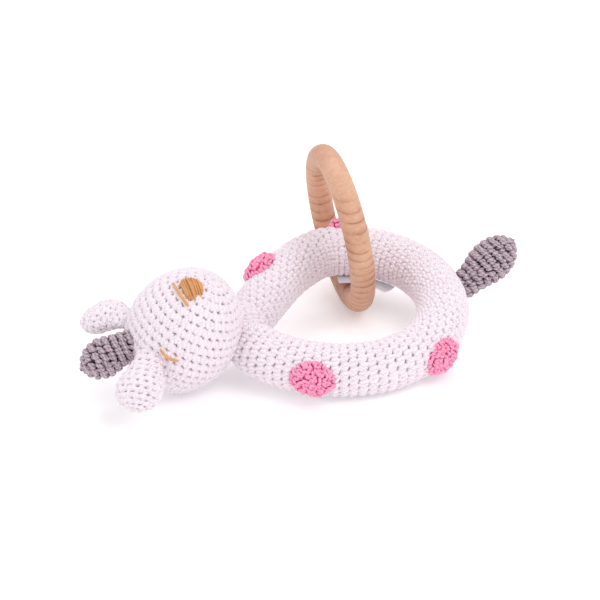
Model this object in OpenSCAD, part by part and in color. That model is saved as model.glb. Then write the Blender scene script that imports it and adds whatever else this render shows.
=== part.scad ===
// Crocheted baby rattle: a stuffed loop with an animal head, ears, forelock and
// tail, four raised spots, a beech teething ring threaded on the loop, a folded
// satin label, and a rattle capsule with loose beads inside the head.
//
// Frame: +Z up, the table is z = 0, the tail points to +X and the head to -X.
// The toy is drawn in the plane of its loop and then tilted into the pose in
// which it rests on a table, on the head, one side of the loop and the ring.

/* [Loop] */
// Radius of the round end of the loop, to the middle of the tube
loop_r = 38; // [37:0.5:39]
// Radius of the stuffed tube
tube_r = 10.25; // [9.8:0.05:10.3]
// Thickness of the crocheted wall
wall = 2.2; // [1.8:0.1:2.4]
// Radius of the ball on which the head sits, where the two legs meet
neck_r = 12.4; // [12.3:0.05:12.5]

/* [Head] */
// Radius of the head across its widest round of stitches
head_r = 21.4; // [21:0.1:21.8]
// Half length of the head, from crown to snout
head_len = 26; // [25.6:0.1:26.4]
// Angle between the head's long axis and the loop's upright
head_pitch = 29.4; // [28:0.2:31]

/* [Ears, forelock and tail] */
// Length of an ear from its seam to its tip
ear_len = 22.4; // [20:0.2:24]
// Width of an ear
ear_w = 18; // [15:0.5:19]
// Thickness of an ear
ear_t = 8.5; // [6:0.5:9]
// Largest radius of the forelock
forelock_r = 7.3; // [6.5:0.1:7.6]
// Largest radius of the tail
tail_r = 8.3; // [7.6:0.1:8.6]

/* [Spots] */
// How far a spot stands out of the tube
spot_h = 3.4; // [2.6:0.1:3.6]
// Half length of the spot's dome along the tube
spot_len = 10; // [9:0.2:10.4]

/* [Ring] */
// Radius of the wooden ring to the middle of its section
ring_r = 30; // [29.8:0.1:30.5]
// Radius of the ring's round section
ring_wire = 5; // [4.5:0.1:5]

/* [Rattle capsule] */
// Outer radius of the capsule
capsule_r = 12; // [11.5:0.1:12.4]
// Wall thickness of the capsule
capsule_wall = 1.4; // [1.2:0.1:1.6]
// Radius of a bead
bead_r = 2; // [1.6:0.1:2.2]

/* [Rest pose] */
// Tilt of the loop when the toy lies on a table
rest_tilt = 9.1; // [9:0.05:9.2]
// Height of the loop's base plane above the table under the middle of the loop
rest_lift = 5.9; // [5.85:0.05:5.95]

/* [Hidden] */
$fn = 72;
gap = 0.05;
soft_gap = 0.08;
white = "#EADDE5";
pink = "#F2A0BE";
grey = "#8F7E88";
gold = "#D99E71";
beech = "#D3A07F";

// The tube's middle line: one long arc round the tail end, then arcs
// [radius, sweep] that lead each leg on towards the head
tail_arc = [-104.7, 74];
far_arcs = [[18.5, 37], [64, 21.2]];
near_arcs = [[54.3, 28.7], [42.5, 14.5]];
// A ball joins each pair of arcs; it stands this far out of the tube, and the
// arcs stop this far short of its centre
ball_extra = 0.16;
ball_trim = 0.5;
// The far leg narrows towards the neck: [length, end radius]. The near leg
// ends in its last ball, which meets the neck ball and makes room for the head.
far_end = [25, 7.9];
near_end = [0, 0];

// Places in the loop's own frame
neck_c = [-44.5, 3.6, tube_r];
head_c = [-68.1, 0.8, 18.5];
head_yaw = -10.5;
ear_near_root = [-86.0, -12.6, 20.2];
ear_far_root = [-86.8, 13.8, 20.7];
ear_yaw = 125.3;
ear_droop = 19.3;
forelock_root = [-90.8, 0.3, 18.4];
tail_root = [51.8, -1.8, 9.2];
ring_xy = [10.9, 32.9];
ring_turn = -5.9;
ring_lean = 6;
// Brings the middle of the resting toy's outline to the origin
rest_shift = [17.241, -7.037, 0];

// Height of the ring's centre at which it just touches the table
function ring_z() =
    (ring_wire + ring_r * sqrt(1 - pow(cos(rest_tilt) * sin(ring_lean)
        + sin(rest_tilt) * cos(ring_lean) * sin(ring_turn), 2))
        + 0.01 - rest_lift - sin(rest_tilt) * ring_xy[1]) / cos(rest_tilt);

// ---- general shapes ----

// Takes a shape from the loop's own frame to the resting toy
module at_rest() {
    translate(rest_shift + [0, 0, rest_lift]) rotate([rest_tilt, 0, 0])
        children();
}

// Keeps what is above the table, so that contact patches become flat
module above_table() {
    difference() {
        children();
        translate([-150, -150, -60]) cube([300, 300, 60]);
    }
}

// A ball whose poles and seam keep away from those of the tubes it joins
module ball(r) { rotate([25, 35, 15]) sphere(r = r); }

// An arc of tube from angle a to angle b, trimmed inside the balls at its ends
module tube_arc(bend, a, b, r) {
    trim = ball_trim / bend * 180 / PI;
    rotate([0, 0, a + trim]) rotate_extrude(angle = b - a - 2 * trim)
        translate([bend, 0]) circle(r = r);
}

// Balls and arcs drawn as a tube of radius r that starts at the origin along
// +Y and bends to -X for side 1 and to +X for side -1
module arc_chain(arcs, side, r, end, inset, i = 0) {
    ball(r + ball_extra);
    if (i < len(arcs)) {
        bend = arcs[i][0];
        sweep = arcs[i][1];
        translate([-side * bend, 0, 0]) {
            if (side > 0) tube_arc(bend, 0, sweep, r);
            else tube_arc(bend, 180 - sweep, 180, r);
            rotate([0, 0, side * sweep]) translate([side * bend, 0, 0])
                arc_chain(arcs, side, r, end, inset, i + 1);
        }
    }
    else if (end[0] > 0)
        translate([0, ball_trim, 0]) rotate([-90, 0, 0])
            cylinder(h = end[0], r1 = r, r2 = end[1] - inset);
}

// The whole tube with both legs and the neck ball; inset shrinks it evenly
module loop_tube(inset = 0) {
    r = tube_r - inset;
    translate([0, 0, tube_r]) {
        tube_arc(loop_r, tail_arc[0], tail_arc[1], r);
        rotate([0, 0, tail_arc[1]]) translate([loop_r, 0, 0])
            arc_chain(far_arcs, 1, r, far_end, inset);
        rotate([0, 0, tail_arc[0]]) translate([loop_r, 0, 0])
            rotate([0, 0, 180]) arc_chain(near_arcs, -1, r, near_end, inset);
    }
    translate(neck_c) rotate([0, 90, 70]) sphere(r = neck_r - inset);
}

// Half outline of an egg with semi-axes a (across) and c (along)
function egg_outline(a, c, n = 30) =
    [for (i = [0:n]) [a * sin(180 * i / n), -c * cos(180 * i / n)]];

module egg(a, c) { rotate_extrude() polygon(egg_outline(a, c)); }

// Radius of a bulb at x along its axis: round root, swelling, round tip
function bulb_radius(x, root, big, mid, long) =
    x < 0 ? sqrt(max(0, root * root - x * x))
    : x < mid ? root + (big - root) * (3 - 2 * x / mid) * pow(x / mid, 2)
    : big * sqrt(max(0, 1 - pow((x - mid) / (long - mid), 2)));

function bulb_outline(root, big, mid, long) = concat(
    [for (i = [0:6]) let (x = -root * cos(15 * i)) [bulb_radius(x, root, big, mid, long), x]],
    [for (i = [1:8]) let (x = mid * i / 8) [bulb_radius(x, root, big, mid, long), x]],
    [for (i = [1:10]) let (x = mid + (long - mid) * sin(9 * i))
        [bulb_radius(x, root, big, mid, long), x]]);

// A bulb along +X with its root centred on the origin
module bulb(root, big, mid, long, inset = 0) {
    rotate([0, 90, 0]) rotate_extrude()
        polygon(bulb_outline(root - inset, big - inset, mid, long - inset));
}

// ---- loop ----

module head_at(c = head_c) {
    translate(c) rotate([0, 0, head_yaw]) rotate([0, head_pitch, 0]) children();
}

module tail_at() {
    translate(tail_root) rotate([0, 0, 9]) rotate([0, -27, 0]) children();
}

module forelock_at() {
    translate(forelock_root) rotate([0, 0, 180]) rotate([0, 14, 0]) children();
}

// The ear hangs from its seam, with its width level
module ear_at(side) {
    translate(side < 0 ? ear_near_root : ear_far_root)
        rotate([0, 0, side * ear_yaw]) rotate([0, ear_droop, 0]) children();
}

tail_root_r = 6.2;
tail_mid = 14;
tail_len = 25;
forelock_root_r = 5.4;
forelock_gap = 0.7;
forelock_mid = 10.5;
forelock_len = 18.6;

module body_cover() {
    color(white) above_table() at_rest() difference() {
        loop_tube();
        loop_tube(wall);
        tail_at() sphere(r = tail_root_r + soft_gap);
    }
}

module body_stuffing() {
    color("#F6F2EE") at_rest() difference() {
        loop_tube(wall + gap);
        tail_at() sphere(r = tail_root_r + 3 * soft_gap);
    }
}

module tail_cover() {
    color(grey) at_rest() tail_at() difference() {
        bulb(tail_root_r, tail_r, tail_mid, tail_len);
        bulb(tail_root_r, tail_r, tail_mid, tail_len, wall);
    }
}

module tail_stuffing() {
    color("#F6F2EE") at_rest() tail_at()
        bulb(tail_root_r, tail_r, tail_mid, tail_len, wall + gap);
}

// A raised oval spot sewn on the tube; place is a point of the middle line,
// heading the direction along the tube, rise how far up it is turned
module spot(place, heading, rise) {
    color(pink) at_rest() difference() {
        translate([place[0], place[1], tube_r]) rotate([0, 0, heading])
            rotate([rise, 0, 0]) translate([0, -(tube_r + spot_h - 7.35), 0])
                rotate([0, 90, 0]) egg(7.35, spot_len);
        loop_tube(-gap, $fn = 144);
    }
}

module spot_near_head() { spot([-25.0, -30.1], -32.2, -12); }
module spot_near_tail() { spot([17.5, -33.7], 27.4, -2); }
module spot_far_head() { spot([-20.5, 24.9], 218, -38); }
module spot_far_tail() { spot([17.0, 34.0], 153.4, -45); }

// ---- head ----

module socket(extra) { translate(neck_c) ball(neck_r + extra); }

// Groove in which the seamed edge of an ear turns
module ear_groove(side) {
    ear_at(side) rotate([90, 0, 0])
        cylinder(h = ear_w * 0.65, r = ear_bar_r + 1.2, center = true);
}
ear_bar_r = 2.2;
ear_far_short = 1.2;

module head_cover() {
    color(white) above_table() at_rest() difference() {
        head_at() egg(head_r, head_len);
        head_at() egg(head_r - wall, head_len - wall);
        socket(soft_gap);
        forelock_at() sphere(r = forelock_root_r + forelock_gap);
        for (side = [1, -1]) ear_groove(side);
    }
}

module head_stuffing() {
    color("#F6F2EE") at_rest() difference() {
        head_at() egg(head_r - wall - gap, head_len - wall - gap);
        socket(3 * soft_gap);
        forelock_at() sphere(r = forelock_root_r + forelock_gap + soft_gap);
        for (side = [1, -1]) ear_groove(side);
        translate(head_c) sphere(r = capsule_r + gap);
    }
}

module ear(side, long) {
    color(white) at_rest() ear_at(side) hull() {
        rotate([90, 0, 0])
            cylinder(h = ear_w * 0.5, r = ear_bar_r, center = true, $fn = 32);
        translate([long - ear_w / 2, 0, 0]) scale([ear_w, ear_w, ear_t] / 2)
            sphere(r = 1, $fn = 32);
    }
}

module ear_near() { ear(-1, ear_len); }
module ear_far() { ear(1, ear_len - ear_far_short); }

module forelock_cover() {
    color(grey) at_rest() forelock_at() difference() {
        bulb(forelock_root_r, forelock_r, forelock_mid, forelock_len);
        bulb(forelock_root_r, forelock_r, forelock_mid, forelock_len, wall);
    }
}

module forelock_stuffing() {
    color("#F6F2EE") at_rest() forelock_at()
        bulb(forelock_root_r, forelock_r, forelock_mid, forelock_len, wall + gap);
}

// A thin layer of thread lying on the head, inside a prism that leaves the
// head's centre towards (turn, tilt); outline is drawn across that direction
module thread_layer(turn, tilt, outline, thick = 0.9) {
    color(gold) at_rest() intersection() {
        difference() {
            head_at() egg(head_r + thick, head_len + thick);
            head_at() egg(head_r + gap, head_len + gap);
        }
        translate(head_c) rotate([0, 0, turn]) rotate([0, 90 - tilt, 0])
            linear_extrude(40) polygon(outline);
    }
}

// Outline of a straight stitch of a given length and width, turned by a
function stitch(length, width, a, at = [0, 0]) =
    [for (p = [[-1, -1], [1, -1], [1, 1], [-1, 1]])
        let (u = p[0] * length / 2, v = p[1] * width / 2)
        [at[0] + u * cos(a) - v * sin(a), at[1] + u * sin(a) + v * cos(a)]];

nose_outline = [[-5.6, 0.2], [-4.9, 2.7], [-3.0, 3.6], [-0.5, 3.5], [2.0, 2.6],
    [3.7, 1.4], [4.7, -1.0], [4.7, -3.0], [3.1, -4.5], [0.0, -3.6], [-3.2, -1.6]];

module nose_patch() { thread_layer(-60, 76, nose_outline); }
module nose_strand() { thread_layer(-109, 77.5, stitch(11.4, 1, 30.5)); }
module eye_near() { thread_layer(-122.5, 13, stitch(6.6, 1, 62.5)); }
module eye_far() { thread_layer(122.5, 13, stitch(6.6, 1, -62.5)); }

// ---- rattle capsule and beads ----

function capsule_centre() = rest_shift +
    [head_c[0],
     head_c[1] * cos(rest_tilt) - head_c[2] * sin(rest_tilt),
     head_c[1] * sin(rest_tilt) + head_c[2] * cos(rest_tilt) + rest_lift];

capsule_in = capsule_r - capsule_wall;
lip_r = capsule_in + capsule_wall / 2;
lip_h = 1.4;

module capsule_at() { translate(capsule_centre()) children(); }

module capsule_lower() {
    color("#DDE6EC") capsule_at() difference() {
        union() {
            intersection() {
                sphere(r = capsule_r);
                translate([-20, -20, -40]) cube([40, 40, 40]);
            }
            translate([0, 0, -lip_h]) cylinder(h = 2 * lip_h, r = lip_r);
        }
        sphere(r = capsule_in);
    }
}

module capsule_upper() {
    color("#DDE6EC") capsule_at() difference() {
        intersection() {
            sphere(r = capsule_r);
            translate([-20, -20, gap]) cube([40, 40, 40]);
        }
        sphere(r = capsule_in);
        translate([0, 0, -lip_h])
            cylinder(h = 2 * lip_h + gap, r = lip_r + gap);
    }
}

bead_lane = bead_r * 1.6;
bead_low = sqrt(pow(capsule_in - bead_r - 0.1, 2) - 2 * pow(bead_lane, 2));

module bead(i) {
    color("silver") capsule_at() rotate([0, 0, 90 * i])
        translate([bead_lane, bead_lane, -bead_low]) sphere(r = bead_r);
}

module bead_1() { bead(0); }
module bead_2() { bead(1); }
module bead_3() { bead(2); }
module bead_4() { bead(3); }

// ---- ring and label ----

module wooden_ring() {
    color(beech) at_rest() translate([ring_xy[0], ring_xy[1], ring_z()])
        rotate([0, 0, ring_turn]) rotate([0, 90 - ring_lean, 0])
            rotate_extrude() translate([ring_r, 0]) circle(r = ring_wire);
}

// Folded satin ribbon sewn under the tube and sticking out into the hole
label_from = 28;
label_sweep = 46;
label_out = 7.2;
label_seam = [31.8, 1.95];
label_t = 0.5;
function label_point(t, layer) =
    [label_seam[0] - label_out * t, label_seam[1] + 1.6 * t * t - layer];

module care_label() {
    outline = concat([for (i = [0:6]) label_point(i / 6, 0)],
        [for (i = [6:-1:0]) label_point(i / 6, label_t)]);
    color("white") at_rest() rotate([0, 0, label_from])
        rotate_extrude(angle = label_sweep) polygon(outline);
}

// ---- assembly ----

body_cover();
body_stuffing();
head_cover();
head_stuffing();
capsule_lower();
capsule_upper();
bead_1();
bead_2();
bead_3();
bead_4();
ear_near();
ear_far();
forelock_cover();
forelock_stuffing();
tail_cover();
tail_stuffing();
spot_near_head();
spot_near_tail();
spot_far_head();
spot_far_tail();
nose_patch();
nose_strand();
eye_near();
eye_far();
wooden_ring();
care_label();
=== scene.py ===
# Crocheted baby rattle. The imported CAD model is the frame; the yarn, thread,
# satin and beech are built here around it. Lengths are in millimetres in the
# plane of the loop until place() takes them to metres in the row frame.
import math
import bpy
import numpy as np
from mathutils import Matrix, Vector


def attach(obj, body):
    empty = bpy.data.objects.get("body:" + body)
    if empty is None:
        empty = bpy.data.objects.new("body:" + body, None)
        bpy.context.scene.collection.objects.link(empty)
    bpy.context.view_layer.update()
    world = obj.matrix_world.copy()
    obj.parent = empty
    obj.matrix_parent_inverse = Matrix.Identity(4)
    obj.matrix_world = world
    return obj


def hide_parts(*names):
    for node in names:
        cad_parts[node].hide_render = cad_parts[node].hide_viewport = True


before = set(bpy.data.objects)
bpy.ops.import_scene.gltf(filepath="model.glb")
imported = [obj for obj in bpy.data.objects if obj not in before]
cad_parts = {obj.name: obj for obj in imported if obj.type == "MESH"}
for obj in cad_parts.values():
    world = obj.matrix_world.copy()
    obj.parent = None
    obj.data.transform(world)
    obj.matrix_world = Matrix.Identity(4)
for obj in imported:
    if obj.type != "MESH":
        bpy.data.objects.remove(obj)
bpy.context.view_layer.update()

RNG = np.random.default_rng(7)   # seeded, so that every run is the same

# ---------------------------------------------------------------- sizes

TILT = math.radians(9.1)       # the loop's tilt when the toy lies on a table
SHIFT = [17.241, -7.037, 5.9]  # from the loop's centre to the row's origin

TUBE_R = 10.25                 # the crocheted tube of the loop
LOOP_R = 38.0                  # its middle line round the tail's end
FAR_TURN, NEAR_TURN = 74, -104.7            # where that round part ends, deg
FAR_BENDS = [(18.5, 37), (64, 21.2)]        # each leg's bends: radius, sweep
NEAR_BENDS = [(54.3, 28.7), (42.5, 14.5)]
FAR_STRAIGHT, NEAR_STRAIGHT = 27.0, 0.3     # the straight run after the bends
NEAR_AIM = 8.0                              # the near leg heads on this far
NEAR_END = np.array([-45.6, 1.2])           # and then curves to this point
FAR_END_R, NEAR_END_R = 9.8, 6.4            # the tube's radius at its ends
FAR_TAPER, NEAR_TAPER = 27.0, 12.5          # how far before them it narrows

ROUND = 3.15                   # height of one round of stitches on the loop
TUBE_STITCHES = 18.5           # stitches round the full tube

HEAD_C = np.array([-68.1, 0.8, 18.5])
HEAD_A, HEAD_L = 21.4, 26.0    # half the head's width and half its length
NECK_C = np.array([-44.5, 3.6, 10.25])
NECK_R = 11.2

RING_C = np.array([10.9, 32.9, 24.096])
RING_R, RING_SECTION = 30.0, 5.0            # middle line and section radius

# ---------------------------------------------------------------- placing

TURN = np.array([[1, 0, 0],
                 [0, math.cos(TILT), -math.sin(TILT)],
                 [0, math.sin(TILT), math.cos(TILT)]])


def place(p):
    """Loop frame, mm, to row frame, m."""
    return (np.asarray(p, float) @ TURN.T + SHIFT) / 1000


def turned(about_z, about_y=0):
    """Axes turned about Y and then about Z, in degrees."""
    cz, sz = math.cos(math.radians(about_z)), math.sin(math.radians(about_z))
    cy, sy = math.cos(math.radians(about_y)), math.sin(math.radians(about_y))
    return np.array([[cz, -sz, 0], [sz, cz, 0], [0, 0, 1.0]]) @ np.array(
        [[cy, 0, sy], [0, 1.0, 0], [-sy, 0, cy]])


def unit(v):
    return v / np.maximum(np.linalg.norm(v, axis=-1, keepdims=True), 1e-9)


def run_of(*coordinates):
    """Distance along a curve at each of its points."""
    steps = np.hypot(*(np.diff(c) for c in coordinates))
    return np.concatenate([[0], np.cumsum(steps)])


# ---------------------------------------------------------------- meshes

def add_object(name, mesh, mat, body, slot, replaces=()):
    ob = bpy.data.objects.new(name, mesh)
    bpy.context.scene.collection.objects.link(ob)
    mesh.materials.append(mat)
    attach(ob, body)
    if replaces:
        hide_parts(*replaces)


def make_mesh(name, verts, faces, uvs=None):
    """verts (n, 3) in metres, faces a list of (m, k) index arrays, uvs one
    (m, k, 2) array per face array."""
    mesh = bpy.data.meshes.new(name)
    verts = np.asarray(verts, np.float32)
    mesh.vertices.add(len(verts))
    mesh.vertices.foreach_set("co", verts.ravel())
    loops = np.concatenate([f.ravel() for f in faces]).astype(np.int32)
    sizes = np.concatenate([np.full(len(f), f.shape[1]) for f in faces])
    starts = np.concatenate([[0], np.cumsum(sizes)[:-1]])
    mesh.loops.add(len(loops))
    mesh.loops.foreach_set("vertex_index", loops)
    mesh.polygons.add(len(sizes))
    mesh.polygons.foreach_set("loop_start", starts.astype(np.int32))
    mesh.polygons.foreach_set("use_smooth", np.ones(len(sizes), bool))
    if uvs is not None:
        layer = mesh.uv_layers.new(name="UVMap")
        flat = np.concatenate([u.reshape(-1, 2) for u in uvs])
        layer.data.foreach_set("uv", flat.astype(np.float32).ravel())
    mesh.update(calc_edges=True)
    mesh.validate()
    return mesh


def grid_quads(n, m, wrap=False):
    """Quads over n rows of m points. Each row closes on itself, and with
    wrap the last row meets the first."""
    i, j = np.meshgrid(np.arange(n if wrap else n - 1), np.arange(m),
                       indexing="ij")
    i2, j2 = (i + 1) % n, (j + 1) % m
    return np.stack([i * m + j, i * m + j2, i2 * m + j2, i2 * m + j],
                    -1).reshape(-1, 4)


def end_caps(n, m):
    """Triangles that close the first and the last of n rows of m points at
    the two points that follow the rows."""
    j = np.arange(m)
    j2 = (j + 1) % m
    last = (n - 1) * m
    return (np.stack([j2, j, np.full(m, n * m)], -1),
            np.stack([last + j, last + j2, np.full(m, n * m + 1)], -1))


TIP = 0.45       # how far a strand's tip stands out, as a part of its radius
TIP_RUN = 0.3    # how far the plies run on over a tip, in the UV map
PLY_SHIFT = 7    # strands start their plies up to this far apart, likewise


def tube_mesh(name, centre, side, out, radius, m, flat):
    """Closed strands as one mesh. centre, side, out are (n, k, 3) and radius
    is (n, k); each strand gets m points around and a tip at both ends."""
    n, k = radius.shape
    ang = (2 * math.pi * np.arange(m) / m)[:, None]
    r = radius[:, :, None, None]
    rows = (centre[:, :, None] + r * np.cos(ang) * side[:, :, None]
            + r * flat * np.sin(ang) * out[:, :, None])

    def tip(end, inner):
        away = unit(centre[:, end] - centre[:, inner])
        return (centre[:, end] + TIP * radius[:, end, None] * away)[:, None]

    verts = np.concatenate([rows.reshape(n, k * m, 3), tip(0, 1), tip(-1, -2)],
                           axis=1)
    length = np.linalg.norm(np.diff(centre, axis=1), axis=2)
    run = np.concatenate([np.zeros((n, 1)), np.cumsum(length, 1)], 1)
    run = run + RNG.random((n, 1)) * PLY_SHIFT
    i, j = np.divmod(np.arange((k - 1) * m), m)
    quad_uv = np.zeros((n, len(i), 4, 2))
    for c, (di, dj) in enumerate([(0, 0), (0, 1), (1, 1), (1, 0)]):
        quad_uv[:, :, c, 0] = run[:, i + di]
        quad_uv[:, :, c, 1] = (j + dj) / m
    cap_uv = np.zeros((2, n, m, 3, 2))
    for uv, end, beyond, order in ((cap_uv[0], 0, -TIP_RUN, (1, 0, 0.5)),
                                   (cap_uv[1], -1, TIP_RUN, (0, 1, 0.5))):
        for c, dj in enumerate(order):
            uv[:, :, c, 0] = run[:, end, None] + beyond * (c == 2)
            uv[:, :, c, 1] = (np.arange(m) + dj) / m
    base = (np.arange(n) * (k * m + 2))[:, None, None]
    quads = (base + grid_quads(k, m)).reshape(-1, 4)
    tris = np.concatenate([(base + c).reshape(-1, 3) for c in end_caps(k, m)])
    return make_mesh(name, verts.reshape(-1, 3), [quads, tris],
                     [quad_uv, cap_uv])


# ---------------------------------------------------------------- surfaces
# A surface takes v (distance along, mm) and phi (angle round) and gives
# points in the loop frame. Height is measured out of it along its normal.

V_STEP, PHI_STEP = 0.05, 0.02    # for slopes on a surface, mm and radians


def normals(surf, v, phi):
    """Outward normals; surf.sense is -1 where phi runs the other way round."""
    dv = surf(v + V_STEP, phi) - surf(v - V_STEP, phi)
    dp = surf(v, phi + PHI_STEP) - surf(v, phi - PHI_STEP)
    return unit(np.cross(dp, dv)) * surf.sense


HOLE_WIDE, HOLE_TALL = 0.23, 0.16   # as parts of a stitch and of a round
HOLE_REACH = 0.6                    # rounds on either side that a hole marks


def skin(name, surf, v0, v1, grid, height, mat, body, holes, depth=1.45, **kw):
    """The fabric between the stitches, a closed sheet of grid points along
    and around that dips by depth where holes, as crochet returns them, say
    that a stitch comes up."""
    nv, nu = grid
    v = np.linspace(v0, v1, nv)[:, None] * np.ones((1, nu))
    phi = (2 * math.pi * np.arange(nu) / nu)[None] * np.ones((nv, 1))
    pit = np.zeros_like(v)
    for at, tall, count, first, slope in holes:
        dv = (v[:, 0] - at) / tall
        k = np.abs(dv) < HOLE_REACH
        du = phi[k] * count / (2 * math.pi) - first - slope * dv[k, None]
        du = (du + 0.5) % 1 - 0.5
        pit[k] = np.maximum(pit[k], np.exp(
            -(du / HOLE_WIDE) ** 2 - (dv[k, None] / HOLE_TALL) ** 2))
    pts = surf(v, phi) + (height - depth * pit)[..., None] * \
        normals(surf, v, phi)
    verts = np.concatenate([pts.reshape(-1, 3),
                            [pts[0].mean(0), pts[-1].mean(0)]])
    mesh = make_mesh(name, place(verts),
                     [grid_quads(nv, nu), np.concatenate(end_caps(nv, nu))])
    # the pit mark goes to the fabric's material, which paints shade in the
    # holes with it
    mark = mesh.attributes.new("pit", "FLOAT", "POINT")
    mark.data.foreach_set("value", np.append(pit.ravel(), [0, 0]).astype(
        np.float32))
    add_object(name, mesh, mat, body, **kw)


FOOT_GAP, HEAD_GAP = 0.21, 0.29   # half the gap between a V's legs, in widths
SLANT = 0.8                       # how much of the lean a stitch itself has
STITCH_FLAT = 0.85                # a leg's thickness to its width
STITCH_POINTS = 8                 # points along a leg


def crochet(name, surf, rounds, yarn, mat, body, lean=0.46, sink=0.9,
            lift=0.12, jitter=0.035, twist=0.05, long=0.84, **kw):
    """Rows of slanted V-shaped stitches. rounds is a list of (v, height of
    the round, number of stitches). The two legs of a V come up out of one
    hole and open towards the next round, whose foot goes between them.
    Each round sits lean stitches further round than the one before it.
    Returns the rows of holes for skin: v, height of the round, number of
    stitches, place of the first hole, slope."""
    s = np.linspace(0, 1, STITCH_POINTS)[None]
    centre, out, radius, holes = [], [], [], []
    phase = 0.0
    for v, tall, count in rounds:
        phase += lean
        holes.append((v - 0.5 * tall, tall, count, 0.5 + phase - 0.5 * lean,
                      SLANT * lean))
        j = np.arange(count)[:, None]
        turn = RNG.normal(0, twist, (count, 1))
        for side in (-1, 1):
            ju, jv, jr = RNG.normal(0, jitter, (3, count, 1))
            a = SLANT * lean * (s - 0.5) + side * (
                FOOT_GAP + (HEAD_GAP - FOOT_GAP) * s)
            b = long * (s - 0.5)
            u = j + 0.5 + phase + ju + a * np.cos(turn) - b * np.sin(turn)
            vv = v + tall * (b * np.cos(turn) + a * np.sin(turn) + jv)
            rise = lift - sink * np.abs(2 * s - 1) ** 3
            phi = 2 * math.pi * u / count
            nrm = normals(surf, vv, phi)
            centre.append(surf(vv, phi) + (rise + 2 * jr)[..., None] * nrm)
            out.append(nrm)
            r = yarn * (0.60 + 0.40 * np.sin(np.pi * s) ** 0.7)
            radius.append(r * RNG.normal(1, 0.03, (count, 1)))
    strands(name, np.concatenate(centre), np.concatenate(out),
            np.concatenate(radius), mat, body, flat=STITCH_FLAT, **kw)
    return holes


def strands(name, c, out, r, mat, body, m=6, flat=1.0, **kw):
    """Strands along c (n, k, 3) in the loop frame, mm, as one object."""
    along = unit(np.gradient(c, axis=1))
    side = unit(np.cross(along, out))
    out = unit(np.cross(side, along))
    mesh = tube_mesh(name, place(c), side @ TURN.T, out @ TURN.T, r / 1000, m,
                     flat)
    add_object(name, mesh, mat, body, **kw)


def rounds_along(total, tall, cell, around):
    """Rounds of stitches for crochet, from one end of a closed form to the
    other; around(v) is the way round it at v."""
    n = round(total / tall)
    return [(v, total / n, max(6, round(around(v) / cell)))
            for v in (np.arange(n) + 0.55) * total / n]


# ---------------------------------------------------------------- the tube

PATH_STEP = 0.25


def leg_path(bends, side, straight):
    """A leg drawn from (0, 0) upwards, bending to the left where side is 1,
    as rows of x, y and heading."""
    x, y, h = 0.0, 0.0, math.pi / 2
    pts = [(x, y, h)]
    for bend, sweep in bends:
        n = int(bend * math.radians(sweep) / PATH_STEP)
        dh = math.radians(sweep) / n
        for _ in range(n):
            x += bend * dh * math.cos(h + side * dh / 2)
            y += bend * dh * math.sin(h + side * dh / 2)
            h += side * dh
            pts.append((x, y, h))
    n = int(straight / PATH_STEP)
    for _ in range(n):
        x += straight / n * math.cos(h)
        y += straight / n * math.sin(h)
        pts.append((x, y, h))
    return np.array(pts)


def put_leg(pts, angle, back):
    """A leg moved to the end of the round part; back turns it half round."""
    turn = turned(angle)[:2, :2]
    xy = (-1 if back else 1) * pts[:, :2] @ turn.T + turn @ [LOOP_R, 0]
    heading = pts[:, 2] + math.radians(angle) + (math.pi if back else 0)
    return np.column_stack([xy, heading])


def curve_to(start, heading, end):
    """A curve that leaves start along heading and arrives at end."""
    aim = start + NEAR_AIM * np.array([math.cos(heading), math.sin(heading)])
    t = np.linspace(0, 1, 71)[1:, None]
    p = (1 - t) ** 2 * start + 2 * t * (1 - t) * aim + t * t * end
    d = (1 - t) * (aim - start) + t * (end - aim)
    bend = np.arctan2(d[:, 1:], d[:, :1]) - heading
    return np.hstack([p, heading + np.angle(np.exp(1j * bend))])


def tube_path():
    """The tube's middle line from the near leg's end, past the tail, to the
    far leg's end, as dense points and headings."""
    far = put_leg(leg_path(FAR_BENDS, 1, FAR_STRAIGHT), FAR_TURN, False)
    near = put_leg(leg_path(NEAR_BENDS, -1, NEAR_STRAIGHT), NEAR_TURN, True)
    near = np.concatenate([near, curve_to(near[-1, :2], near[-1, 2],
                                          NEAR_END)])[::-1].copy()
    near[:, 2] += math.pi
    a = np.radians(np.linspace(NEAR_TURN, FAR_TURN, 480))[1:-1]
    middle = np.column_stack([LOOP_R * np.cos(a), LOOP_R * np.sin(a),
                              a + math.pi / 2])
    pts = np.concatenate([near, middle, far])
    pts[:, 2] = np.unwrap(pts[:, 2])
    return pts


PATH = tube_path()
PATH_S = run_of(PATH[:, 0], PATH[:, 1])
PATH_LEN = PATH_S[-1]


def tube_radius(s):
    """Both legs narrow towards the neck, and are as narrow as they get just
    before their ends."""
    far = np.clip((s - (PATH_LEN - FAR_TAPER)) / (FAR_TAPER - 2), 0, 1)
    near = np.clip((NEAR_TAPER - s) / (NEAR_TAPER - 0.5), 0, 1) ** 1.5
    return TUBE_R + (FAR_END_R - TUBE_R) * far + (NEAR_END_R - TUBE_R) * near


def on_tube(s, phi, r):
    """A point r from the middle line at s; phi 0 points out of the loop,
    phi 90 degrees up."""
    x, y, h = (np.interp(s, PATH_S, PATH[:, k]) for k in range(3))
    return np.stack([x + r * np.cos(phi) * np.sin(h),
                     y - r * np.cos(phi) * np.cos(h),
                     TUBE_R + r * np.sin(phi)], -1)


def station(x, y):
    """Distance along the tube of the point nearest to (x, y)."""
    return PATH_S[np.argmin(np.hypot(PATH[:, 0] - x, PATH[:, 1] - y))]


# ---------------------------------------------------------------- materials

def hex_rgb(r, g, b):
    """A screen colour, 0 to 255, as a linear one."""
    def lin(c):
        c /= 255
        return c / 12.92 if c <= 0.04045 else ((c + 0.055) / 1.055) ** 2.4
    return (lin(r), lin(g), lin(b), 1)


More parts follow.
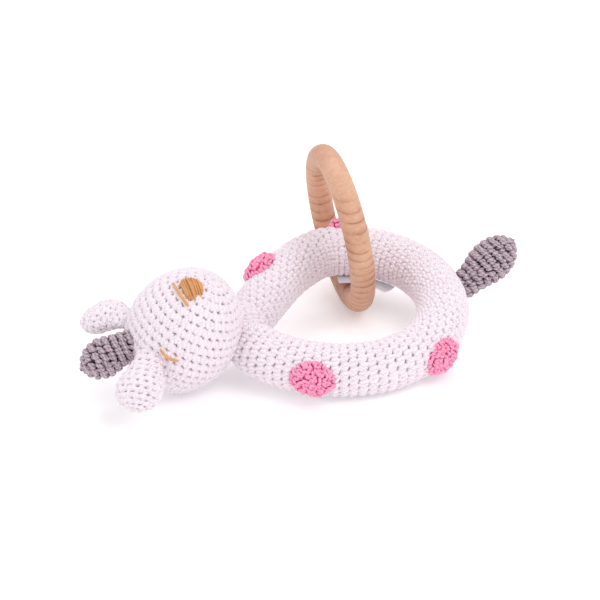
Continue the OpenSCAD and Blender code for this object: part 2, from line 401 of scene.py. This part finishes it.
def new_mat(name, values):
    """A material with one Principled shader; values are its inputs."""
    m = bpy.data.materials.new(name)
    m.use_nodes = True
    nt = m.node_tree
    nt.nodes.clear()
    out = nt.nodes.new("ShaderNodeOutputMaterial")
    b = nt.nodes.new("ShaderNodeBsdfPrincipled")
    nt.links.new(b.outputs[0], out.inputs[0])
    for key, value in values.items():
        b.inputs[key].default_value = value
    return m, nt, b


def node(nt, kind, feed=None, **vals):
    """A node with feed linked to its first input; in_1=x sets input 1."""
    n = nt.nodes.new(kind)
    for key, val in vals.items():
        if key.startswith("in_"):
            n.inputs[int(key[3:])].default_value = val
        else:
            setattr(n, key, val)
    if feed is not None:
        nt.links.new(feed, n.inputs[0])
    return n


def calc(nt, op, a, c=None, **vals):
    """A sum on a; c is the last term of a MULTIPLY_ADD, else the second."""
    n = node(nt, "ShaderNodeMath", a, operation=op, **vals)
    if c is not None:
        nt.links.new(c, n.inputs[2 if op == "MULTIPLY_ADD" else 1])
    return n.outputs[0]


def noise(nt, at, size, detail, rough=0.5, scale=(1, 1, 1)):
    """Noise at the point at, drawn finer along an axis of higher scale."""
    at = node(nt, "ShaderNodeMapping", at, in_3=scale).outputs[0]
    return node(nt, "ShaderNodeTexNoise", at, in_2=size, in_3=detail,
                in_4=rough).outputs[0]


def ramp(nt, value, stops):
    r = node(nt, "ShaderNodeValToRGB", value)
    el = r.color_ramp.elements
    while len(el) < len(stops):
        el.new(0.5)
    for e, (pos, col) in zip(el, stops):
        e.position = pos
        e.color = col
    return r.outputs[0]


def fade(nt, value, stops):
    """A ramp of greys."""
    return ramp(nt, value, [(x, (g, g, g, 1)) for x, g in stops])


def finish(nt, b, tone, stops, height=None, bumps=0.0, distance=0.0):
    """Colours the shader by tone and bumps it by height."""
    nt.links.new(ramp(nt, tone, stops), b.inputs["Base Color"])
    if height is not None:
        bump = node(nt, "ShaderNodeBump")
        bump.inputs["Strength"].default_value = bumps
        bump.inputs["Distance"].default_value = distance
        nt.links.new(height, bump.inputs["Height"])
        nt.links.new(bump.outputs[0], b.inputs["Normal"])


def own_place(nt):
    """The point that is shaded, in the piece's own axes."""
    return node(nt, "ShaderNodeTexCoord").outputs["Object"]


def yarn_mat(name, light, dark, rough=0.85, ply=1.15, bumps=0.35, spec=0.3,
             glow=0.0):
    """Twisted yarn: three plies run as slanting stripes round each strand,
    ply times a millimetre. The stripes are painted shade in the grooves
    between the plies, lighter on their crests; the mottle is random tone."""
    m, nt, b = new_mat(name, {
        "Roughness": rough, "Specular IOR Level": spec, "Sheen Weight": 0.25,
        "Sheen Roughness": 0.5, "Subsurface Weight": glow,
        "Subsurface Radius": (0.0012, 0.0009, 0.0009),
        "Subsurface Scale": 1.0})
    at = own_place(nt)
    uv = node(nt, "ShaderNodeUVMap", uv_map="UVMap").outputs[0]
    sep = node(nt, "ShaderNodeSeparateXYZ", uv)
    turns = calc(nt, "ADD", calc(nt, "MULTIPLY", sep.outputs[0],
                                 in_1=1000 * ply),
                 calc(nt, "MULTIPLY", sep.outputs[1], in_1=3.0))
    wave = calc(nt, "COSINE", calc(nt, "MULTIPLY", turns, in_1=2 * math.pi))
    # ply_shade_stripe: painted shade in the ply grooves, lighter on the crests
    ply_shade_stripe = calc(nt, "MULTIPLY_ADD", wave, in_1=0.16, in_2=0.34)
    mottle = noise(nt, at, 420.0, 2.0)
    fuzz = noise(nt, at, 5200.0, 3.0, 0.6)
    finish(nt, b, calc(nt, "MULTIPLY_ADD", mottle, ply_shade_stripe, in_1=0.45),
           [(0.25, dark), (0.62, light)],
           calc(nt, "MULTIPLY_ADD", fuzz, wave, in_1=0.35), bumps, 0.00016)
    return m


def under_mat(name, light, dark):
    """The fabric between the stitches. Its pit mark blends it to the dark
    colour down in the holes: painted shade.
    """
    m, nt, b = new_mat(name, {"Roughness": 0.95})
    fibre = noise(nt, own_place(nt), 900.0, 3.0, 0.6)
    # pit: where the holes dip; the dark colour laid there is painted shade
    pit = node(nt, "ShaderNodeAttribute", attribute_name="pit").outputs["Fac"]
    finish(nt, b, calc(nt, "MULTIPLY_ADD", fibre, pit, in_1=0.3),
           [(0.2, light), (0.75, dark)], fibre, 0.6, 0.0002)
    return m


def plain_mat(name, colour, rough, size, vary, bumps=0.0, metal=0.0):
    """A surface with a little mottling."""
    m, nt, b = new_mat(name, {"Roughness": rough, "Metallic": metal})
    mottle = noise(nt, own_place(nt), size, 4.0, 0.6)
    dark = tuple(c * (1 - 2 * vary) for c in colour[:3]) + (1,)
    finish(nt, b, mottle, [(0.3, dark), (0.7, colour)],
           mottle if bumps else None, bumps, 0.0002)
    return m


def beech_mat():
    """Growth lines cross the ring every few millimetres, with fine flecks, and
    its lower part is darker: painted shade. The mesh's grain attribute holds
    each point in the ring's own axes."""
    m, nt, b = new_mat("beech_wood", {"Roughness": 0.5,
                                      "Specular IOR Level": 0.35})
    at = node(nt, "ShaderNodeAttribute",
              attribute_name="grain").outputs["Vector"]
    across = node(nt, "ShaderNodeSeparateXYZ", at).outputs[0]
    bent = calc(nt, "MULTIPLY_ADD", noise(nt, at, 0.06, 2.0), across, in_1=3.5)
    part = calc(nt, "FRACT", calc(nt, "MULTIPLY", bent, in_1=1 / 3.3))
    line = fade(nt, part, [(0.0, 1), (0.05, 0.75), (0.16, 0.1), (0.45, 0),
                           (0.86, 0.22), (0.95, 0.55), (1.0, 1)])
    show = fade(nt, noise(nt, at, 0.11, 2.0), [(0.38, 0.1), (0.62, 1)])
    height = calc(nt, "MULTIPLY_ADD", across, in_1=1 / 70, in_2=0.5)
    show = calc(nt, "MULTIPLY", show,
                fade(nt, height, [(0.04, 0.05), (0.2, 1)]))
    line = calc(nt, "MULTIPLY", calc(nt, "MULTIPLY", line, show), in_1=0.36)
    # darker towards the ring's lower part: painted shade
    line = calc(nt, "ADD", line, fade(nt, height, [(0.55, 0), (0.95, 0.12)]))
    broad = calc(nt, "MULTIPLY_ADD", noise(nt, at, 0.045, 2.0), line,
                 in_1=0.55)
    fine = noise(nt, at, 1.0, 5.0, 0.65, (2.4, 0.5, 0.6))
    fleck = fade(nt, noise(nt, at, 1.0, 1.0, scale=(1.2, 5.0, 5.0)),
                 [(0.64, 0), (0.72, 1)])
    tone = calc(nt, "MULTIPLY_ADD", fine, broad, in_1=0.42)
    tone = calc(nt, "MULTIPLY_ADD", fleck, tone, in_1=0.14)
    finish(nt, b, tone, [(0.34, hex_rgb(224, 180, 152)),
                         (0.56, hex_rgb(203, 152, 123)),
                         (0.76, hex_rgb(170, 120, 97)),
                         (1.0, hex_rgb(120, 78, 60))], fine, 0.12, 0.0001)
    return m


# each yarn's light and dark: its ply crests and grooves, painted highlight and
# painted shade, with random tone between
WHITE = yarn_mat("yarn_white", hex_rgb(247, 236, 243), hex_rgb(226, 211, 219),
                 glow=0.15)
PINK = yarn_mat("yarn_pink", hex_rgb(255, 170, 203), hex_rgb(243, 108, 158),
                rough=0.6, glow=0.1)
GREY = yarn_mat("yarn_grey", hex_rgb(196, 174, 185), hex_rgb(92, 72, 84),
                rough=0.34, spec=0.8, bumps=0.55, ply=0.9)
GOLD = yarn_mat("thread_gold", hex_rgb(240, 174, 104), hex_rgb(176, 100, 40),
                rough=0.38, spec=0.6, ply=1.3, bumps=0.5)
UNDER_WHITE = under_mat("under_white_pit_shade", hex_rgb(240, 229, 236),
                        hex_rgb(186, 164, 168))
# pink and grey fabric is darker all over than its yarn: painted shade between
# the stitches
UNDER_PINK = under_mat("under_pink_painted_shade", hex_rgb(226, 80, 130),
                       hex_rgb(170, 30, 76))
UNDER_GREY = under_mat("under_grey_painted_shade", hex_rgb(66, 50, 59), hex_rgb(36, 26, 32))
BEECH = beech_mat()
SATIN = plain_mat("satin_white", hex_rgb(244, 241, 248), 0.35, 2500.0, 0.02,
                  bumps=0.15)
FILLING = plain_mat("polyester_fibre", hex_rgb(245, 241, 238), 0.95, 500.0,
                    0.05, bumps=0.6)
CAPSULE = plain_mat("capsule_plastic", hex_rgb(222, 230, 236), 0.35, 200.0,
                    0.01)
STEEL = plain_mat("steel_shot", hex_rgb(200, 200, 205), 0.25, 800.0, 0.03,
                  metal=1.0)

# ---------------------------------------------------------------- loop yarn


def loop_yarn():
    def surf(s, phi):
        return on_tube(s, phi, tube_radius(s) - 0.80)
    surf.sense = -1
    count = round(PATH_LEN / ROUND)
    tall = PATH_LEN / count
    rounds = [(s, tall, round(TUBE_STITCHES * tube_radius(s) / TUBE_R))
              for s in (np.arange(count) + 0.5) * tall]
    half = count // 2
    holes = crochet("loop_yarn_a", surf, rounds[:half], 1.0, WHITE, "loop",
                    replaces=("body_cover",), slot="white_yarn")
    holes += crochet("loop_yarn_b", surf, rounds[half:], 1.0, WHITE, "loop",
                     slot="white_yarn")
    skin("loop_fabric", surf, 0.3, PATH_LEN - 0.3, (700, 130), 0.35,
         UNDER_WHITE, "loop", holes, slot="white_yarn")


loop_yarn()

# ---------------------------------------------------------------- head, neck

HEAD_M = turned(-10.5, 29.4)
EGG_ROUND = 3.5       # height of one round of stitches


def egg(name, body, centre, m, a, c, inset, cell, yarn, grid, height, **kw):
    """A crocheted egg, a its half width and c its half length along Z of m,
    drawn in by inset; v runs from the pole at +Z to the other. cell is a
    stitch's width."""
    wide, long = a - inset, c - inset
    t = np.linspace(0, math.pi, 600)
    arc = run_of(wide * np.sin(t), long * np.cos(t))
    total = arc[-1]

    def surf(v, phi):
        past_a_pole = np.minimum(v, 0) + np.maximum(v - total, 0)
        tt = np.interp(v, arc, t) + past_a_pole / c
        r = wide * np.sin(tt)
        p = np.stack([r * np.cos(phi), r * np.sin(phi), long * np.cos(tt)],
                     -1)
        return p @ m.T + centre
    surf.sense = -1

    def around(v):
        return 2 * math.pi * wide * math.sin(np.interp(v, arc, t))

    rounds = rounds_along(total, EGG_ROUND, cell, around)
    holes = crochet(name + "_yarn", surf, rounds, yarn, WHITE, body,
                    slot="white_yarn", **kw)
    skin(name + "_fabric", surf, 0.2, total - 0.2, grid, height, UNDER_WHITE,
         body, holes, slot="white_yarn")


egg("head", "head", HEAD_C, HEAD_M, HEAD_A, HEAD_L, 0.40, 3.45, 0.98,
    (240, 330), 0.45, replaces=("head_cover",))
egg("neck", "loop", NECK_C, turned(-7, -70), NECK_R, NECK_R, 0.8, 3.5, 0.97,
    (80, 130), 0.3)

# ---------------------------------------------------------------- bulbs

BULB_INSET = 0.6


def bulb_surface(origin, m, root, big, mid, long, wide, thick):
    """A bulb along +X of m, out of a ball of radius root to a radius of big
    at mid and round at long; v runs from the tip back to the root."""
    x = np.concatenate([np.linspace(-root * 0.6, mid, 200),
                        mid + (long - mid) * np.sin(
                            np.linspace(0, math.pi / 2, 200))[1:]])
    a = np.clip(x / mid, 0, 1)
    q = np.clip((x - mid) / (long - mid), 0, 1)
    r = np.select([x < 0, x < mid],
                  [np.sqrt(np.maximum(root ** 2 - x ** 2, 0)),
                   root + (big - root) * (3 - 2 * a) * a ** 2],
                  big * np.sqrt(1 - q ** 2))[::-1]
    x = x[::-1]
    arc = run_of(x, r)

    def surf(v, phi):
        rr = np.interp(v, arc, r) + np.minimum(v, 0)
        drawn_in = BULB_INSET * (v < arc[-1]) * np.clip(1 - v / 8, 0, 1)
        p = np.stack([np.interp(v, arc, x) - drawn_in,
                      -(rr * wide - BULB_INSET) * np.cos(phi),
                      (rr * thick - BULB_INSET) * np.sin(phi)], -1)
        return p @ m.T + origin
    surf.sense = 1
    return surf, arc, r


def bulb(name, replaces, origin, m, dims, cell, yarn, mat, under, slot,
         wide=1.0, thick=1.0, fill=-0.35, **kw):
    """A crocheted bulb on its own body; dims are root, big, mid and long of
    its surface, and cell is a stitch's height and width."""
    surf, arc, r = bulb_surface(origin, m, *dims, wide, thick)

    def around(v):
        """The way round an ellipse."""
        rr = np.interp(v, arc, r) - BULB_INSET
        a, b = rr * wide, rr * thick
        return math.pi * (3 * (a + b) - math.sqrt((3 * a + b) * (a + 3 * b)))

    rounds = rounds_along(arc[-1], *cell, around)
    holes = crochet(name + "_yarn", surf, rounds, yarn, mat, name,
                    replaces=(replaces,), slot=slot, **kw)
    skin(name + "_fabric", surf, 0.4, arc[-1] - 0.1, (80, 110), fill, under,
         name, holes, slot=slot)


GREY_BULB = dict(mat=GREY, under=UNDER_GREY, slot="grey_yarn", jitter=0.06,
                 twist=0.22, long=0.78, sink=1.0)
bulb("forelock", "forelock_cover", np.array([-90.8, 0.3, 18.4]),
     turned(180, 18), (5.9, 7.7, 9.2, 19.0), (3.1, 3.2), 0.92, **GREY_BULB)
bulb("tail", "tail_cover", np.array([51.8, -1.8, 9.2]),
     turned(9, -30), (6.0, 8.6, 12.6, 25.5), (3.0, 3.0), 0.87, **GREY_BULB)

for side, name, root, long, wide in (
        (-1, "ear_near", (-86.0, -12.6, 20.2), 22.4, 1.02),
        (1, "ear_far", (-86.8, 13.8, 20.7), 20.2, 1.10)):
    bulb(name, name, np.array(root), turned(side * 125.3, 19.3),
         (5.4, 9.0, long - 9, long), (2.6, 2.6), 0.78, WHITE, UNDER_WHITE,
         "white_yarn", wide=wide, thick=0.55, fill=0.4, sink=0.6,
         jitter=0.07, twist=0.25)

# ---------------------------------------------------------------- spots

SPOT_RIM = 8.2        # v at a spot's rim
SPOT_TALL = 3.9
SPOT_HALF_ROUND = 7.0  # half a spot's size round the tube
SPOT_ROUNDS = [(1.0, 1.9, 5), (2.8, 1.9, 10), (4.6, 1.8, 15), (6.2, 1.7, 19),
               (7.7, 1.5, 22)]


def spot_surface(s0, phi0, half):
    """A dome on the tube with half its size along it; v runs from its top
    out to its rim."""
    ahead, behind = (on_tube(s0 + d, phi0, tube_radius(s0 + d))
                     for d in (0.5, -0.5))
    stretch = np.linalg.norm(ahead - behind)

    def surf(v, ang):
        q = v / SPOT_RIM
        ds = half / stretch * q * np.cos(ang)
        dt = SPOT_HALF_ROUND * q * np.sin(ang)
        rise = SPOT_TALL * np.sqrt(1 - np.minimum(np.abs(q), 1) ** 2.2)
        return on_tube(s0 + ds, phi0 + dt / TUBE_R, TUBE_R - 1.0 + rise)
    surf.sense = -1
    return surf


for word, x, y, up, half in (("near_head", -25.0, -30.1, 12, 8.6),
                             ("near_tail", 17.5, -33.7, 2, 8.6),
                             ("far_head", -21.3, 24.4, 41, 8.6),
                             ("far_tail", 15.4, 34.6, 45, 7.6)):
    name = "spot_" + word
    surf = spot_surface(station(x, y), math.radians(up), half)
    holes = crochet(name + "_yarn", surf, SPOT_ROUNDS, 0.66, PINK, "loop",
                    replaces=(name,), slot="pink_yarn", lean=0.3, lift=0.2,
                    sink=0.6, jitter=0.12, twist=0.9, long=0.85)
    skin(name + "_fabric", surf, 0.05, SPOT_RIM - 0.1, (30, 60), -0.15,
         UNDER_PINK, "loop", holes, depth=0.8, slot="pink_yarn")

# ---------------------------------------------------------------- gold thread


def on_head(turn, tilt, pts, lift):
    """Points drawn across the direction (turn, tilt) from the head's centre,
    carried out to the head's surface; returns them and their normals."""
    m = turned(turn, 90 - tilt)
    p = (np.column_stack([pts, np.zeros(len(pts))]) @ m.T) @ HEAD_M
    d = (m @ [0, 0, 1]) @ HEAD_M
    e = np.array([HEAD_A, HEAD_A, HEAD_L]) + 0.25
    a, b = np.sum((d / e) ** 2), 2 * np.sum(p / e * d / e, axis=1)
    c = np.sum((p / e) ** 2, axis=1) - 1
    t = (-b + np.sqrt(b * b - 4 * a * c)) / (2 * a)
    q = p + t[:, None] * d
    n = unit(q / e ** 2)
    return (q + lift[:, None] * n) @ HEAD_M.T + HEAD_C, n @ HEAD_M.T


def thread(name, turn, tilt, stitches, radius, bend=0.0, layers=1):
    """Stitches of thread on the head, given by their ends, with layers of
    others below and between them."""
    s = np.linspace(0, 1, 13)
    centre, out = [], []
    for i, (a, b) in enumerate(stitches):
        a, b = np.array(a, float), np.array(b, float)
        across = np.array([b[1] - a[1], a[0] - b[0]]) / np.hypot(*(b - a))
        for low in range(layers):
            pts = a + (b - a) * (s[:, None] * (1 - 0.12 * low) + 0.06 * low)
            pts = pts + (bend * np.sin(np.pi * s)[:, None]
                         + 0.5 * low * (radius + 0.05)) * across
            lift = -0.9 + (1.62 - 0.60 * low) * np.sin(np.pi * s) ** 0.22
            c, n = on_head(turn, tilt, pts, lift + 0.22 * (i % 2))
            centre.append(c)
            out.append(n)
    r = radius * (0.75 + 0.25 * np.sin(np.pi * s) ** 0.4)
    strands(name + "_thread", np.array(centre), np.array(out),
            np.tile(r, (len(centre), 1)), GOLD, "head", m=8,
            replaces=(name,), slot="gold_thread")


NOSE = (-60, 76)      # directions from the head's centre: turn and tilt
EYE_TURN, EYE_TILT = 122.5, 13
thread("nose_patch", *NOSE, [
    ((-4.9, -1.5), (2.6, -5.1)), ((-5.3, -0.3), (3.4, -5.0)),
    ((-5.5, 0.8), (4.3, -4.7)), ((-5.1, 1.8), (5.3, -3.9)),
    ((-4.2, 2.3), (4.7, -2.9)), ((-3.4, 2.8), (4.2, -1.7)),
    ((-2.5, 3.2), (4.9, -1.1)), ((-1.4, 3.5), (5.2, -0.2)),
    ((-0.2, 3.4), (4.6, 0.7)), ((1.0, 3.0), (3.6, 1.5))], 0.40, layers=2)
thread("nose_strand", *NOSE, [((-7.4, -2.6), (5.0, -7.0))], 0.58, bend=0.7)
thread("eye_near", -EYE_TURN, EYE_TILT, [((-2.1, -3.7), (2.0, 3.7))], 0.50,
       bend=0.75)
thread("eye_far", EYE_TURN, EYE_TILT, [((-2.1, 3.7), (2.0, -3.7))], 0.50,
       bend=-0.75)

# ---------------------------------------------------------------- ring


def ring():
    """A ring with a section a hair off round, as turned wood has."""
    nu, nv = 192, 40
    a = 2 * math.pi * np.arange(nu)[:, None] / nu
    b = 2 * math.pi * np.arange(nv)[None] / nv
    section = RING_SECTION - 0.06 * np.cos(2 * b) ** 2
    r = RING_R + section * np.cos(b)
    p = np.stack([r * np.cos(a), r * np.sin(a),
                  section * np.sin(b) * np.ones_like(a)], -1).reshape(-1, 3)
    outward = [0, 3, 2, 1]
    mesh = make_mesh("ring_beech", place(p @ turned(-5.9, 84).T + RING_C),
                     [grid_quads(nu, nv, wrap=True)[:, outward]])
    grain = mesh.attributes.new("grain", "FLOAT_VECTOR", "POINT")
    grain.data.foreach_set("vector", p.astype(np.float32).ravel())
    add_object("ring_beech", mesh, BEECH, "ring", replaces=("wooden_ring",),
               slot="beech")


ring()

# ---------------------------------------------------------------- label


def label():
    """A ribbon folded double, sewn under the tube. It runs on a circle about
    the loop's centre and hangs towards that centre."""
    nu, nt = 60, 14
    sewn_at = 31.8
    ang = np.radians(np.linspace(28.4, 73.6, nu))[:, None]
    t = np.linspace(0, 1, nt)[None]
    wave = 0.22 * np.sin(9 * ang) * t
    layers = []
    for gap, shorter in ((0.0, 0.0), (0.42, 0.35)):
        width = 7.0 - shorter + 0.5 * np.sin(4 * ang + 0.6)
        r = sewn_at - width * t
        z = 1.9 + 1.6 * t ** 2 + wave - gap * (1 - 0.7 * t ** 6)
        layers.append(np.stack([r * np.cos(ang), r * np.sin(ang), z], -1))
    p = np.concatenate([layers[0], layers[1][:, ::-1]], axis=1)
    m = 2 * nt
    k = np.arange(nt - 1)
    end = np.stack([k, k + 1, m - 2 - k, m - 1 - k], -1)
    mesh = make_mesh("label_satin", place(p.reshape(-1, 3)),
                     [grid_quads(nu, m), end[:, ::-1], (nu - 1) * m + end])
    add_object("label_satin", mesh, SATIN, "loop", replaces=("care_label",),
               slot="satin")


label()

# ---------------------------------------------------------------- inside

INSIDE = {"stuffing": FILLING, "capsule": CAPSULE, "bead": STEEL}
for node_name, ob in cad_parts.items():
    for word, mat in INSIDE.items():
        if word in node_name:
            ob.data.materials.clear()
            ob.data.materials.append(mat)

# ---------------------------------------------------------------- camera

CAMERA_AIM = place([-15.01, 12.07, 9.78])
CAMERA_AWAY = 0.7654     # metres
CAMERA_TURN, CAMERA_UP = math.radians(-22.05), math.radians(37.98)


def camera():
    """Set in the axes of the loop's plane, with its picture level there."""
    back = TURN @ np.array([math.sin(CAMERA_TURN) * math.cos(CAMERA_UP),
                            -math.cos(CAMERA_TURN) * math.cos(CAMERA_UP),
                            math.sin(CAMERA_UP)])
    right = TURN @ np.array([math.cos(CAMERA_TURN), math.sin(CAMERA_TURN), 0])
    up = np.cross(back, right)
    pose = np.eye(4)
    pose[:3] = np.column_stack([right, up, back,
                                CAMERA_AIM + back * CAMERA_AWAY])
    cam = bpy.data.cameras.new("camera")
    cam.lens = 115.3
    cam.sensor_width = 36
    cam.clip_start = 0.01
    ob = bpy.data.objects.new("camera", cam)
    bpy.context.scene.collection.objects.link(ob)
    ob.matrix_world = Matrix(pose.tolist())
    bpy.context.scene.camera = ob


camera()

# ---------------------------------------------------------------- floor, light

FLOOR_HALF, FLOOR_Z = 3, -0.0004     # metres


def white_floor():
    mesh = bpy.data.meshes.new("floor")
    mesh.from_pydata([(x * FLOOR_HALF, y * FLOOR_HALF, FLOOR_Z)
                      for x, y in ((-1, -1), (1, -1), (1, 1), (-1, 1))],
                     [], [(0, 1, 2, 3)])
    mesh.materials.append(new_mat("floor_white", {
        "Base Color": (0.92, 0.92, 0.92, 1), "Roughness": 0.9,
        "Emission Color": (1, 1, 1, 1), "Emission Strength": 0.22})[0])
    ob = bpy.data.objects.new("floor", mesh)
    bpy.context.scene.collection.objects.link(ob)


def area(name, pos, aim, size, power):
    lamp = bpy.data.lights.new(name, "AREA")
    lamp.energy = power
    lamp.size = size
    ob = bpy.data.objects.new(name, lamp)
    bpy.context.scene.collection.objects.link(ob)
    ob.location = pos
    ob.rotation_euler = (Vector(aim) - Vector(pos)).to_track_quat(
        "-Z", "Y").to_euler()


def studio():
    world = bpy.data.worlds.new("studio")
    bpy.context.scene.world = world
    world.use_nodes = True
    background = world.node_tree.nodes["Background"]
    background.inputs["Color"].default_value = (1, 0.99, 1, 1)
    background.inputs["Strength"].default_value = 0.80
    area("key", (0.35, -0.6, 0.9), (0, 0, 0.02), 0.6, 3.2)
    area("left", (-0.9, -0.25, 0.6), (-0.02, 0, 0.02), 0.6, 1.0)
    area("top", (0.1, 0.5, 1.0), (0, 0, 0.02), 0.8, 2.5)
    bpy.context.scene.view_settings.view_transform = "Standard"


white_floor()
studio()
